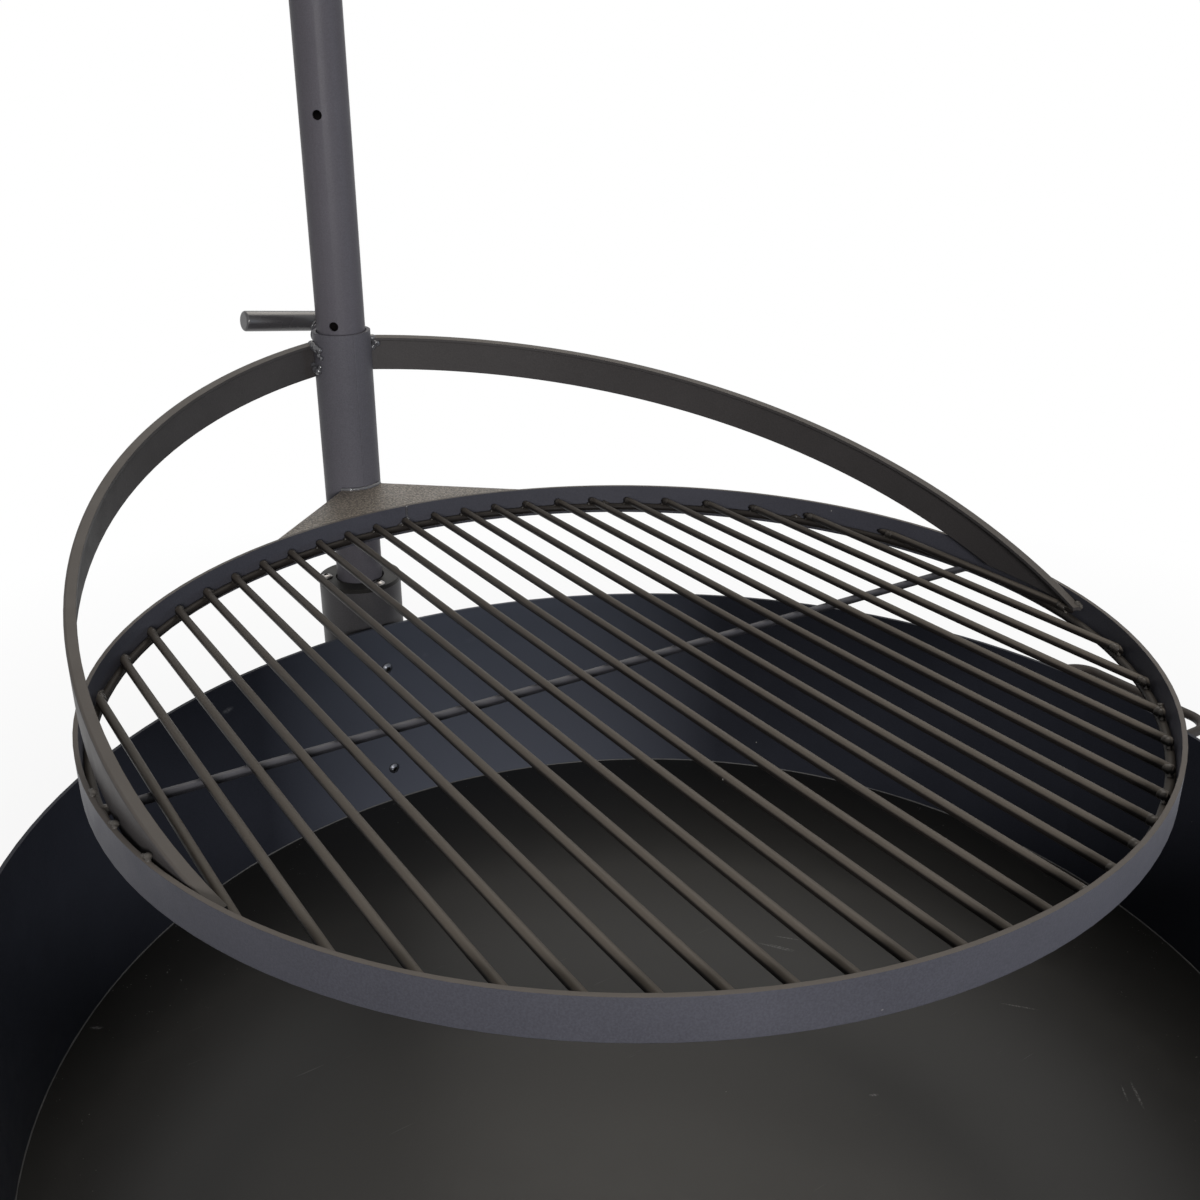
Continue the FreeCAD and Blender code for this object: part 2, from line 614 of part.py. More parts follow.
def arch_half(name, label, side):
    half = body(name)
    # the leaning plane holds both ends: turned and tipped along the chord, then rolled about it
    turned = (f"rotation(vector(0; 0; 1); atan2({CHORD_Y}; {side} * {CHORD_X}))"
              f" * rotation(vector(0; 1; 0); -asin({CHORD_Z} / {CHORD}))"
              f" * rotation(vector(1; 0; 0); {side} * Dims.arch_roll)")
    to_centre = placement(x=f"{CHORD} / 2", y=f"{side} * {CHORD_TO_CENTRE}",
                          turn=f"rotation(vector(0; 0; 1); {side} * -90)")
    leaning = f"{placement(x=f'{side} * {FOOT_X}', y=FOOT_Y, z=FOOT_Z, turn=turned)} * {to_centre}"
    for part, width, depth in (("Leg", "Dims.arch_sheet", "Dims.arch_leg"),
                               ("Flange", "Dims.arch_flange", "Dims.arch_sheet")):
        plan = sketch(half, f"{name}{part}Plan", offset=leaning)
        ring_sector(plan, "Dims.arch_radius", f"(Dims.arch_radius - {width})",
                    f"-{HALF_SPAN}", HALF_SPAN)
        feature = pad(half, f"{name}{part}", plan, depth)
        feature.UseCustomVector = True
        feature.AlongSketchNormal = False
        feature.Direction = Vector(0, 0, -1)
    doc.recompute()
    radius = number("Dims.arch_radius")
    centre = plan.Placement.Base
    heel = [f"Edge{index}" for index, edge in enumerate(feature.Shape.Edges, start=1)
            if isinstance(edge.Curve, Part.Circle)
            and abs(edge.Curve.Radius - radius) < SAME
            and edge.Curve.Center.distanceToPoint(centre) < SAME]
    rounding = half.newObject("PartDesign::Fillet", f"{name}Heel")
    rounding.Base = (feature, heel)
    bind(rounding, Radius="Dims.arch_heel")
    # the sleeve's curve, the bars' ends below the foot, and the hoop beside it
    for cutter, radii, middle, level in (
            ("SleeveCut", [SLEEVE_OUTSIDE], POST_Y, POST_TOP),
            ("FootCut", [HOOP_OUTSIDE], HOOP_Y, FOOT_LEVEL),
            ("HoopCut", [f"{HOOP_OUTSIDE} + Dims.hoop_width", HOOP_INSIDE], HOOP_Y, HOOP_TOP)):
        plan = sketch(half, f"{name}{cutter}Plan", offset=placement(z=level))
        for cut_radius in radii:
            circle(plan, cut_radius, y=middle)
        pocket(half, f"{name}{cutter}", plan, may_miss=cutter == "HoopCut")
    keep(half, label)


arch_half("ArchRight", "arch_right", 1)
arch_half("ArchLeft", "arch_left", -1)

# Check every object, then write each sub-part

doc.recompute()
for thing in doc.Objects:
    if "Invalid" in thing.State or "Error" in thing.State:
        raise RuntimeError(f"{thing.Name} failed: {thing.State}")
os.makedirs("parts", exist_ok=True)
for node in nodes:
    shape = node.Shape
    if shape.isNull() or not shape.isValid() or not shape.Solids:
        raise RuntimeError(f"{node.Label} has no valid solid")
    shape.exportStep(f"parts/{node.Label}.step")
    box = shape.BoundBox
    print(f"{node.Label:16s} solids {len(shape.Solids)}  volume {shape.Volume:12.1f}"
          f"  x {box.XMin:8.2f} {box.XMax:8.2f}  y {box.YMin:8.2f} {box.YMax:8.2f}"
          f"  z {box.ZMin:8.2f} {box.ZMax:8.2f}")
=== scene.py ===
import math
import random

import bpy
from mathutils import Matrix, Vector


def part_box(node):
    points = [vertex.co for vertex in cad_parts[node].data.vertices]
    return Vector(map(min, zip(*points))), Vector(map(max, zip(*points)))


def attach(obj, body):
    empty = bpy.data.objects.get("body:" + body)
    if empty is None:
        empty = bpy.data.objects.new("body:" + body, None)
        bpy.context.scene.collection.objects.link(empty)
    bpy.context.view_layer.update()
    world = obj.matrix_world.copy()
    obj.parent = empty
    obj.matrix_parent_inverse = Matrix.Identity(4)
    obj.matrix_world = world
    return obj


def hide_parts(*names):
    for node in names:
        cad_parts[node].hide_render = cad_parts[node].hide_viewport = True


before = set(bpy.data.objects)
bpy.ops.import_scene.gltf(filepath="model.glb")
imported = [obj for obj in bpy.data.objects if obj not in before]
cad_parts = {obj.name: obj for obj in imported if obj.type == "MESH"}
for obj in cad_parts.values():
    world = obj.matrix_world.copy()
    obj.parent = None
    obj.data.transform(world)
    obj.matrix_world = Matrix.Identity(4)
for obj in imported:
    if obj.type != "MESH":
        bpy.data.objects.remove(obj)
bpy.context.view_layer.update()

# Pit wall. A rolled ring of 3 mm sheet steel, 900 mm across, powder coated satin black. The
# coat is fine grained and a little blue, with specks of dust and a few chalk smears, and a
# pale blue film at the back is painted light.


def feed(tree, node, values):
    # each socket takes another node's output, or a plain number or colour
    for socket, value in values.items():
        if isinstance(value, bpy.types.NodeSocket):
            tree.links.new(value, node.inputs[socket])
        else:
            node.inputs[socket].default_value = value


def combined(tree, operation, first, second):
    maths = tree.nodes.new("ShaderNodeMath")
    maths.operation = operation
    feed(tree, maths, {0: first, 1: second})
    return maths.outputs[0]


def opaque(colour):
    return colour if isinstance(colour, bpy.types.NodeSocket) else (*colour, 1)


def mix_colours(tree, share, first, second):
    # the Mix node keeps its two colours at sockets 6 and 7, and the result at output 2
    mix = tree.nodes.new("ShaderNodeMix")
    mix.data_type = "RGBA"
    feed(tree, mix, {0: share, 6: opaque(first), 7: opaque(second)})
    return mix.outputs[2]


def between(tree, value, low, high, bottom=0.0, top=1.0):
    # as the value goes from low to high, the result goes from bottom to top
    ranged = tree.nodes.new("ShaderNodeMapRange")
    feed(tree, ranged, {"Value": value, "From Min": low, "From Max": high,
                        "To Min": bottom, "To Max": top})
    return ranged.outputs["Result"]


def length(tree, vector):
    measure = tree.nodes.new("ShaderNodeVectorMath")
    measure.operation = "LENGTH"
    feed(tree, measure, {0: vector})
    return measure.outputs["Value"]


def noise(tree, place, scale, detail):
    grain = tree.nodes.new("ShaderNodeTexNoise")
    feed(tree, grain, {"Vector": place, "Scale": scale, "Detail": detail})
    return grain.outputs["Fac"]


def drifting(tree, place, scale, detail, bottom=0.0, top=1.0):
    # a soft pattern that uses the whole span from bottom to top
    return between(tree, noise(tree, place, scale, detail), 0.3, 0.7, bottom, top)


def specks(tree, place, scale, size, rarity):
    # small round spots, most of which a slower pattern takes away again
    solid_core = 0.55
    slower = 0.37
    fade = 0.02
    cells = tree.nodes.new("ShaderNodeTexVoronoi")
    feed(tree, cells, {"Vector": place, "Scale": scale})
    dots = between(tree, cells.outputs["Distance"], size, size * solid_core)
    rare = between(tree, noise(tree, place, scale * slower, detail=2), rarity, rarity + fade)
    return combined(tree, "MULTIPLY", dots, rare)


def fine_grain(tree, shader, place, scale, detail, depth, edge):
    # a fine bump all over, and sharp edges that shade as if they were rounded
    soft_edge = tree.nodes.new("ShaderNodeBevel")
    feed(tree, soft_edge, {"Radius": edge})
    bumps = tree.nodes.new("ShaderNodeBump")
    feed(tree, bumps, {"Distance": depth, "Height": noise(tree, place, scale, detail),
                       "Normal": soft_edge.outputs["Normal"]})
    feed(tree, shader, {"Normal": bumps.outputs["Normal"]})


def powder_coat(name, colour, shine=0.48, wander=0.05, gloss=0.25, cloud=0.2, dust=0.73,
                grain=0.00006, grain_scale=600, edge=0.0005):
    # shine is the roughness and wander how far it varies, gloss is the strength of the
    # reflections, cloud how far the colour varies, dust how rare the specks of dust are,
    # grain how deep the texture is, and edge how round the edges look
    coat = bpy.data.materials.new(name)
    coat.use_nodes = True
    tree = coat.node_tree
    shader = tree.nodes["Principled BSDF"]
    place = tree.nodes.new("ShaderNodeTexCoord").outputs["Object"]
    darker = [part * (1 - cloud) for part in colour]
    lighter = [part * (1 + cloud) for part in colour]
    patches = drifting(tree, place, scale=9, detail=6)
    flecks = between(tree, noise(tree, place, scale=900, detail=2), 0.34, 0.66)
    mottled = combined(tree, "ADD", combined(tree, "MULTIPLY", patches, 0.5),
                       combined(tree, "MULTIPLY", flecks, 0.5))
    tint = mix_colours(tree, mottled, darker, lighter)
    marks = specks(tree, place, scale=160, size=0.13, rarity=dust)
    dust_grey = (0.36, 0.35, 0.33)
    rough = drifting(tree, place, scale=45, detail=4, bottom=shine - wander, top=shine + wander)
    feed(tree, shader, {"Base Color": mix_colours(tree, marks, tint, dust_grey),
                        "Roughness": rough, "Specular IOR Level": gloss})
    fine_grain(tree, shader, place, grain_scale, detail=3, depth=grain, edge=edge)
    return coat


def opened(coat):
    # a coat's node tree, its coordinates, and the colour that it has so far
    tree = coat.node_tree
    coordinates = next(node for node in tree.nodes if node.type == "TEX_COORD").outputs
    tint = tree.nodes["Principled BSDF"].inputs["Base Color"].links[0].from_socket
    return tree, coordinates, tint


def recoloured(coat, tint):
    feed(coat.node_tree, coat.node_tree.nodes["Principled BSDF"], {"Base Color": tint})
    return coat


def rubbed(tree, place, tint, marks, colour, strength):
    # scratches and smears, each an ellipse that a fine noise breaks up: its place, how many
    # degrees it is turned, and half its length and width
    for spot, turn, long, wide in marks:
        lay = tree.nodes.new("ShaderNodeMapping")
        lay.vector_type = "TEXTURE"
        feed(tree, lay, {"Vector": place, "Location": spot, "Scale": (long, wide, wide),
                         "Rotation": (0, 0, math.radians(turn))})
        inside = between(tree, length(tree, lay.outputs["Vector"]), 1.0, 0.4)
        broken = between(tree, noise(tree, place, scale=700, detail=3), 0.42, 0.58, 0.1, strength)
        tint = mix_colours(tree, combined(tree, "MULTIPLY", inside, broken), tint, colour)
    return tint


def finish(material, *names):
    # gives the named CAD pieces a material
    for name in names:
        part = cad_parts[name]
        if not part.material_slots:
            part.data.materials.append(material)
        for slot in part.material_slots:
            slot.material = material


def wall_finish(name, colour):
    coat = powder_coat(name, colour, shine=0.46, gloss=0.1)
    tree, coordinates, tint = opened(coat)
    place = coordinates["Object"]
    smears = (((-0.04, 0.4455, 0.136), 5, 0.006, 0.0035),
              ((-0.165, 0.416, 0.165), 22, 0.007, 0.003),
              ((0.086, 0.439, 0.157), -11, 0.007, 0.004),
              ((0.04, 0.445, 0.151), -5, 0.004, 0.003))
    tint = rubbed(tree, place, tint, smears, colour=(0.3, 0.3, 0.31), strength=0.25)
    # painted light: a pale blue film, given as ash, that is brightest a little to the right of the
    # post and fades out to both sides
    ash_and_painted_light = (0.08, 0.088, 0.112)
    glow_centre = math.radians(77)
    glow_begins = 0.385
    glow_full = 0.446
    toward = tree.nodes.new("ShaderNodeVectorMath")
    toward.operation = "DOT_PRODUCT"
    feed(tree, toward, {0: place, 1: (math.cos(glow_centre), math.sin(glow_centre), 0)})
    wall_glow = between(tree, toward.outputs["Value"], glow_begins, glow_full, top=0.85)
    return recoloured(coat, mix_colours(tree, wall_glow, tint, ash_and_painted_light))


finish(wall_finish("pit_wall_coat", (0.017, 0.0185, 0.025)), "pit_wall")

# Wall seam. The butt weld that closes the rolled ring, on the pit's left side. It is ground
# nearly flat and coated over, and shows outside as a low smooth line.
weld_coat = powder_coat("weld_coat", (0.06, 0.06, 0.066), shine=0.2, gloss=0.7, grain=0.00002,
                        grain_scale=900)


def weld(name, body, puddles, coat=weld_coat, flow=2):
    # puddles of weld metal, each a place and a radius, run together to one bead that is then
    # smoothed as many times as flow says
    voxels_across = 7
    chance = random.Random(name)
    drops = []
    for place, radius in puddles:
        bpy.ops.object.select_all(action="DESELECT")
        bpy.ops.mesh.primitive_ico_sphere_add(subdivisions=2, radius=radius, location=place)
        drop = bpy.context.object
        drop.scale = [chance.uniform(0.88, 1.12) for axis in range(3)]
        drop.rotation_euler = [chance.uniform(0, math.pi) for axis in range(3)]
        drops.append(drop)
    bpy.ops.object.select_all(action="DESELECT")
    for drop in drops:
        drop.select_set(True)
    bead = drops[0]
    bpy.context.view_layer.objects.active = bead
    bpy.ops.object.join()
    bpy.ops.object.transform_apply(location=True, rotation=True, scale=True)
    run = bead.modifiers.new("run", "REMESH")
    run.mode = "VOXEL"
    run.voxel_size = min(radius for place, radius in puddles) * 2 / voxels_across
    bpy.ops.object.modifier_apply(modifier="run")
    settle = bead.modifiers.new("settle", "SMOOTH")
    settle.iterations = flow
    bpy.ops.object.modifier_apply(modifier="settle")
    bpy.ops.object.shade_smooth()
    bead.name = name
    bead.data.name = name
    bead.data.materials.clear()
    bead.data.materials.append(coat)
    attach(bead, body)


def up(height):
    return Vector((0, 0, height))


def around(centre, reach, angle, height):
    # the place at a reach and an angle in degrees from an upright axis, at a height
    turn = math.radians(angle)
    return Vector((centre[0] + reach * math.cos(turn), centre[1] + reach * math.sin(turn),
                   height))


puddle_step = 0.7


def along(start, end, radius):
    # puddles in a straight row, each overlapping the last
    first = Vector(start)
    way = Vector(end) - first
    count = max(2, round(way.length / (radius * puddle_step)))
    return [(first + way * number / count, radius) for number in range(count + 1)]


pit_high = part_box("pit_wall")[1]
pit_radius = pit_high.x
seam_depth = 0.0012
seam_margin = 0.004
seam_foot = around((0, 0), pit_radius - seam_depth, angle=200, height=seam_margin)
weld("pit_wall_seam", "base",
     along(seam_foot, seam_foot + up(pit_high.z - 2 * seam_margin), radius=0.0018))

# Pit floor. A 3 mm disc let in flush with the wall's lower edge. Its coat is smoother and
# browner than the wall's, with fine scratches, rubbed marks and dust that lies by the wall.
floor_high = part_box("pit_floor")[1]


def floor_finish(name, colour):
    coat = powder_coat(name, colour, shine=0.35, wander=0.012, gloss=0.26, cloud=0.06,
                       grain=0.00003)
    tree, coordinates, tint = opened(coat)
    place = coordinates["Object"]
    by_wall = between(tree, length(tree, place), 0.33, 0.44)
    dust = specks(tree, place, scale=340, size=0.2, rarity=0.64)
    dirt = combined(tree, "MULTIPLY", dust, by_wall)
    dirt_grey = (0.2, 0.2, 0.19)
    tint = mix_colours(tree, dirt, tint, dirt_grey)
    # two sets of hairlines, each a noise that is drawn out one way
    hairline_grey = (0.2, 0.2, 0.2)
    hairline_strength = 0.2
    for turn, stretch, rarity in ((25, 26, 0.75), (-62, 34, 0.765)):
        lay = tree.nodes.new("ShaderNodeMapping")
        feed(tree, lay, {"Vector": place, "Rotation": (0, 0, math.radians(turn)),
                         "Scale": (1, stretch, 1)})
        drawn_out = noise(tree, lay.outputs["Vector"], scale=16, detail=2)
        lines = between(tree, drawn_out, rarity, rarity + 0.03, top=hairline_strength)
        tint = mix_colours(tree, lines, tint, hairline_grey)
    level = floor_high.z
    scratches = (((0.1563, 0.0599, level), -57, 0.018, 0.0011),
                 ((0.1729, 0.0629, level), -49, 0.012, 0.0008),
                 ((0.161, 0.056, level), -57, 0.013, 0.0007),
                 ((0.2657, -0.1032, level), -50, 0.016, 0.0009),
                 ((0.26, -0.2121, level), 55, 0.015, 0.0013),
                 ((0.254, -0.206, level), 52, 0.009, 0.0008),
                 ((0.1043, -0.106, level), -30, 0.004, 0.0015),
                 ((-0.3359, 0.2783, level), -34, 0.006, 0.002))
    tint = rubbed(tree, place, tint, scratches, colour=(0.26, 0.26, 0.26), strength=0.6)
    return recoloured(coat, tint)


finish(floor_finish("pit_floor_coat", (0.0125, 0.0122, 0.0116)), "pit_floor")

# Floor joint. A thin line of weld that runs round the corner between floor and wall. It is
# coated over with the rest, and slightly uneven.
joint_coat = powder_coat("joint_coat", (0.085, 0.085, 0.085), shine=0.5)
joint_radius = 0.0008
bpy.ops.object.select_all(action="DESELECT")
bpy.ops.mesh.primitive_torus_add(major_segments=360, minor_segments=8,
                                 major_radius=floor_high.x, minor_radius=joint_radius,
                                 location=up(floor_high.z))
floor_joint = bpy.context.object
floor_joint.name = "floor_joint"
ripple = bpy.data.textures.new("joint_ripple", "CLOUDS")
ripple.noise_scale = 0.006
uneven = floor_joint.modifiers.new("uneven", "DISPLACE")
uneven.texture = ripple
uneven.strength = joint_radius
uneven.mid_level = 0.5
bpy.ops.object.transform_apply(location=True)
bpy.ops.object.modifier_apply(modifier="uneven")
bpy.ops.object.shade_smooth()
floor_joint.data.materials.append(joint_coat)
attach(floor_joint, "base")

# Handles. Two 8 mm round bars, bent to a flat U and welded to the outside of the wall with a
# run of weld round each leg.


def part_of(tree, vector, axis):
    axes = tree.nodes.new("ShaderNodeSeparateXYZ")
    feed(tree, axes, {"Vector": vector})
    return axes.outputs[axis]


def ash_and_painted_toplight(coat, ash_and_painted_light, bare=-0.1, covered=0.75, strength=0.8):
    # fine ash and dust on what faces up, and painted light: the upward faces lighter and the
    # underside dark, as if lit from above
    tree, coordinates, tint = opened(coat)
    facing_up = part_of(tree, coordinates["Normal"], "Z")
    share = between(tree, facing_up, bare, covered, top=strength)
    return recoloured(coat, mix_colours(tree, share, tint, ash_and_painted_light))


def ring_of_puddles(centre, along_axis, reach, radius, count):
    # puddles round a bar or boss that points along the given axis
    axis = Vector(along_axis).normalized()
    across = axis.orthogonal().normalized()
    other = axis.cross(across)
    run = []
    for number in range(count):
        turn = math.tau * number / count
        run.append((Vector(centre) + reach * (across * math.cos(turn) + other * math.sin(turn)),
                    radius))
    return run


# the handles get ash on their upward faces and painted light from above, with dark undersides
handle_coat = ash_and_painted_toplight(powder_coat("handle_coat", (0.028, 0.024, 0.022), shine=0.46, gloss=0.1),
                      ash_and_painted_light=(0.045, 0.04, 0.036))
finish(handle_coat, "handle_right", "handle_left")
handle_low, handle_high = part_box("handle_right")
handle_bar = (handle_high.z - handle_low.z) / 2
handle_level = (handle_high.z + handle_low.z) / 2
handle_turn = math.radians(-1.6)
leg_side = 0.068
leg_reach = math.sqrt(pit_radius ** 2 - leg_side ** 2)
bead_off_wall = 0.0004
bead_off_leg = 0.0006
for side, word in ((1, "right"), (-1, "left")):
    for end, letter in ((1, "a"), (-1, "b")):
        turn = handle_turn + math.atan2(end * leg_side, leg_reach)
        outward = Vector((side * math.cos(turn), side * math.sin(turn), 0))
        straight = Vector((side * math.cos(handle_turn), side * math.sin(handle_turn), 0))
        foot = outward * (pit_radius + bead_off_wall) + up(handle_level)
        weld(f"handle_{word}_weld_{letter}", "base",
             ring_of_puddles(foot, straight, handle_bar + bead_off_leg, radius=0.0019, count=16))

# Socket. A 76.1 mm tube behind the wall with a disc under it, a flat bar to the wall, and a
# screwed cap on top. Tube and bar have the pit's coat; the cap's coat is darker, painted
# shade under the plate.
socket_coat = powder_coat("socket_coat", (0.056, 0.054, 0.057), shine=0.46, gloss=0.18)
finish(socket_coat, "socket_tube", "socket_base", "mount_bar")
# painted shade: the cap is coloured darker than the tube, as the plate above shades it
cap_shaded_coat = powder_coat("cap_shaded_coat", (0.018, 0.017, 0.016), shine=0.46, gloss=0.12, edge=0.0008)
finish(cap_shaded_coat, "socket_cap")
mount_low, mount_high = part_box("mount_bar")
tube_low, tube_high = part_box("socket_tube")
socket_radius = (tube_high.x - tube_low.x) / 2
socket_y = (tube_high.y + tube_low.y) / 2
mount_margin = 0.004
bead_off_side = 0.0008
bead_off_end = 0.0006
mount_run = up(mount_high.z - mount_low.z - 2 * mount_margin)
mount_end = socket_y - math.sqrt(socket_radius ** 2 - mount_high.x ** 2)
for side, word in ((-1, "left"), (1, "right")):
    corner = Vector((side * (mount_high.x + bead_off_side), mount_end + bead_off_end,
                     mount_low.z + mount_margin))
    weld(f"mount_weld_{word}", "base", along(corner, corner + mount_run, radius=0.0022))

# Bushes. Two bronze rings inside the tube, turned to size, that the post turns in. The marks
# of turning and a dull film give them a slightly uneven sheen.


def hollows(tree, reach, open_from, closed_from):
    # how far a place is closed in by what lies within the reach
    open_air = tree.nodes.new("ShaderNodeAmbientOcclusion")
    feed(tree, open_air, {"Distance": reach})
    return between(tree, open_air.outputs["AO"], open_from, closed_from)


def turned_metal(name, colour, rough, metal=1.0, hollow_shade_reach=0.0):
    # the last argument is how far the painted shade in corners and recesses reaches, or 0 for a
    # piece without it
    bare = bpy.data.materials.new(name)
    bare.use_nodes = True
    tree = bare.node_tree
    shader = tree.nodes["Principled BSDF"]
    place = tree.nodes.new("ShaderNodeTexCoord").outputs["Object"]
    darker = [part * 0.82 for part in colour]
    lighter = [min(part * 1.1, 1) for part in colour]
    tint = mix_colours(tree, drifting(tree, place, scale=140, detail=5), darker, lighter)
    if hollow_shade_reach:
        # painted shade: what is closed in, such as the hex socket, is coloured near black
        hollow_shade = hollows(tree, hollow_shade_reach, open_from=0.9, closed_from=0.6)
        hollow_shade_dark = (0.015, 0.014, 0.013)
        tint = mix_colours(tree, hollow_shade, tint, hollow_shade_dark)
    shade = drifting(tree, place, scale=500, detail=4, bottom=rough - 0.08, top=rough + 0.1)
    feed(tree, shader, {"Base Color": tint, "Roughness": shade, "Metallic": metal})
    fine_grain(tree, shader, place, scale=1500, detail=2, depth=0.00003, edge=0.0004)
    return bare


finish(turned_metal("bush_bronze", (0.55, 0.4, 0.2), rough=0.34), "lower_bush", "upper_bush")

# Thrust pad, lug ring and lock tip. A white plastic disc under the post, a steel ring with
# tapped holes under the cap, and the steel tip that the lock screw pushes against the post.
finish(turned_metal("pad_plastic", (0.8, 0.79, 0.75), rough=0.5, metal=0.0), "thrust_pad")
finish(turned_metal("plain_steel", (0.4, 0.4, 0.41), rough=0.38), "lug_ring", "lock_tip")

# Screws. Zinc plated button heads with a six-sided socket that is painted dark as shade. They are
# bright on the cap, and dull in the wall, where the fire reaches them.
bright_zinc = turned_metal("bright_zinc", (0.25, 0.24, 0.235), rough=0.32, hollow_shade_reach=0.004)
finish(bright_zinc, "cap_screws")
dull_zinc = turned_metal("dull_zinc", (0.12, 0.125, 0.14), rough=0.42, hollow_shade_reach=0.004)
finish(dull_zinc, "wall_screws")

# Post. A 42.4 mm tube with cross holes and a plug in its top, satin black. The inside of
# the tube and its holes is painted dark as shade.


def shaded_within(coat, reach):
    tree, coordinates, tint = opened(coat)
    # painted shade: what is closed in, inside the tube and its holes, is coloured near black
    inside = hollows(tree, reach, open_from=0.45, closed_from=0.25)
    hollow_shade_black = (0.006, 0.005, 0.005)
    return recoloured(coat, mix_colours(tree, inside, tint, hollow_shade_black))


post_coat = shaded_within(powder_coat("post_coat", (0.09, 0.086, 0.099), shine=0.4, gloss=0.08,
                                    cloud=0.16), reach=0.08)
finish(post_coat, "post", "post_cap")

# Sleeve. A 50.8 mm seamed tube that slides on the post. Its own long seam shows as a fine
# raised line down its front, and the lock screw's boss is welded to its back.
sleeve_coat = powder_coat("sleeve_coat", (0.088, 0.086, 0.099), shine=0.4, gloss=0.06, edge=0.0007)
finish(sleeve_coat, "sleeve", "lock_boss")
sleeve_low, sleeve_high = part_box("sleeve")
sleeve_radius = (sleeve_high.x - sleeve_low.x) / 2
line_angle = -88
line_width = 0.0024
line_rise = 0.0007
line_margin = 0.0008
line_edge = 0.0003
bpy.ops.object.select_all(action="DESELECT")
bpy.ops.mesh.primitive_cube_add(size=1, location=around((0, socket_y), sleeve_radius, line_angle,
                                                        (sleeve_low.z + sleeve_high.z) / 2))
sleeve_seam = bpy.context.object
sleeve_seam.name = "sleeve_seam"
sleeve_seam.scale = (line_width, line_rise, sleeve_high.z - sleeve_low.z - 2 * line_margin)
sleeve_seam.rotation_euler = (0, 0, math.radians(line_angle + 90))
bpy.ops.object.transform_apply(location=True, rotation=True, scale=True)
bpy.ops.object.mode_set(mode="EDIT")
bpy.ops.mesh.select_all(action="SELECT")
bpy.ops.mesh.bevel(offset=line_edge, segments=2, affect="EDGES")
bpy.ops.object.mode_set(mode="OBJECT")
bpy.ops.object.shade_smooth_by_angle(angle=math.radians(50))
sleeve_seam.data.materials.append(sleeve_coat)
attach(sleeve_seam, "carriage")

# Lock screw. A 12 mm threaded rod through the boss, with a cross bar of 18 mm round bar
# welded on as its handle. The thread is cut at a pitch of 1.75 mm.
lean = math.radians(26)
screw_axis = Vector((0, math.cos(lean), math.sin(lean)))
lock_drop = 0.029
lock_origin = Vector((0, socket_y, sleeve_high.z - lock_drop))
bar_along = 0.0632
bar_radius = 0.009
bar_skin = 0.0005
screw_start = 0.0302
screw_end = bar_along + bar_radius - bar_skin
thread_crest = 0.006
thread_root = 0.0051
thread_sunk = 0.0003
thread_foot = thread_root - thread_sunk
flank = 0.0007
crest_flat = 0.0002
pitch = 0.00175
bpy.ops.object.select_all(action="DESELECT")
bpy.ops.mesh.primitive_circle_add(vertices=32, radius=thread_root, fill_type="NGON",
                                  location=up(screw_start))
lock_rod = bpy.context.object
bpy.ops.object.transform_apply(location=True)
bpy.ops.object.mode_set(mode="EDIT")
bpy.ops.mesh.select_all(action="SELECT")
bpy.ops.mesh.extrude_region_move(TRANSFORM_OT_translate={"value": up(screw_end - screw_start)})
bpy.ops.mesh.select_all(action="SELECT")
bpy.ops.mesh.normals_make_consistent(inside=False)
bpy.ops.object.mode_set(mode="OBJECT")
# the thread's ridge is a plane's four edges, wound up the rod
bpy.ops.object.select_all(action="DESELECT")
bpy.ops.mesh.primitive_plane_add(size=0.001)
ridge = bpy.context.object
ridge_profile = ((thread_foot, 0, screw_start),
                 (thread_crest, 0, screw_start + flank),
                 (thread_foot, 0, screw_start + flank + crest_flat + flank),
                 (thread_crest, 0, screw_start + flank + crest_flat))
for corner, place in zip(ridge.data.vertices, ridge_profile):
    corner.co = place
bpy.ops.object.mode_set(mode="EDIT")
bpy.ops.mesh.select_all(action="SELECT")
bpy.ops.mesh.delete(type="ONLY_FACE")
bpy.ops.object.mode_set(mode="OBJECT")
winding = ridge.modifiers.new("winding", "SCREW")
winding.axis = "Z"
winding.screw_offset = pitch
winding.iterations = int((screw_end - screw_start) / pitch)
winding.steps = 24
winding.render_steps = 24
winding.use_smooth_shade = False
bpy.ops.object.modifier_apply(modifier="winding")
bpy.ops.object.mode_set(mode="EDIT")
bpy.ops.mesh.select_all(action="SELECT")
bpy.ops.mesh.fill_holes(sides=4)
bpy.ops.object.mode_set(mode="OBJECT")
lock_rod.select_set(True)
bpy.context.view_layer.objects.active = lock_rod
bpy.ops.object.join()
bpy.ops.object.mode_set(mode="EDIT")
bpy.ops.mesh.select_all(action="SELECT")
bpy.ops.mesh.remove_doubles(threshold=0.00001)
bpy.ops.mesh.normals_make_consistent(inside=False)
bpy.ops.object.mode_set(mode="OBJECT")
lock_rod.rotation_euler = screw_axis.to_track_quat("Z", "Y").to_euler()
lock_rod.location = lock_origin
bpy.ops.object.transform_apply(location=True, rotation=True, scale=True)
bpy.ops.object.shade_smooth_by_angle(angle=math.radians(25))
lock_rod.name = "lock_screw_threaded"
lock_rod.data.materials.append(turned_metal("worn_steel", (0.34, 0.33, 0.33), rough=0.34))
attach(lock_rod, "lock")
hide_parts("lock_screw")
finish(powder_coat("lock_coat", (0.04, 0.039, 0.042), shine=0.28, gloss=0.6, edge=0.0009),
       "lock_bar")
bead_off_screw = 0.0008
bar_side = lock_origin + screw_axis * (bar_along - bar_radius + bead_off_screw)
weld("lock_bar_weld", "lock",
     ring_of_puddles(bar_side, screw_axis, thread_crest + bead_off_screw, radius=0.0019,
                     count=12))
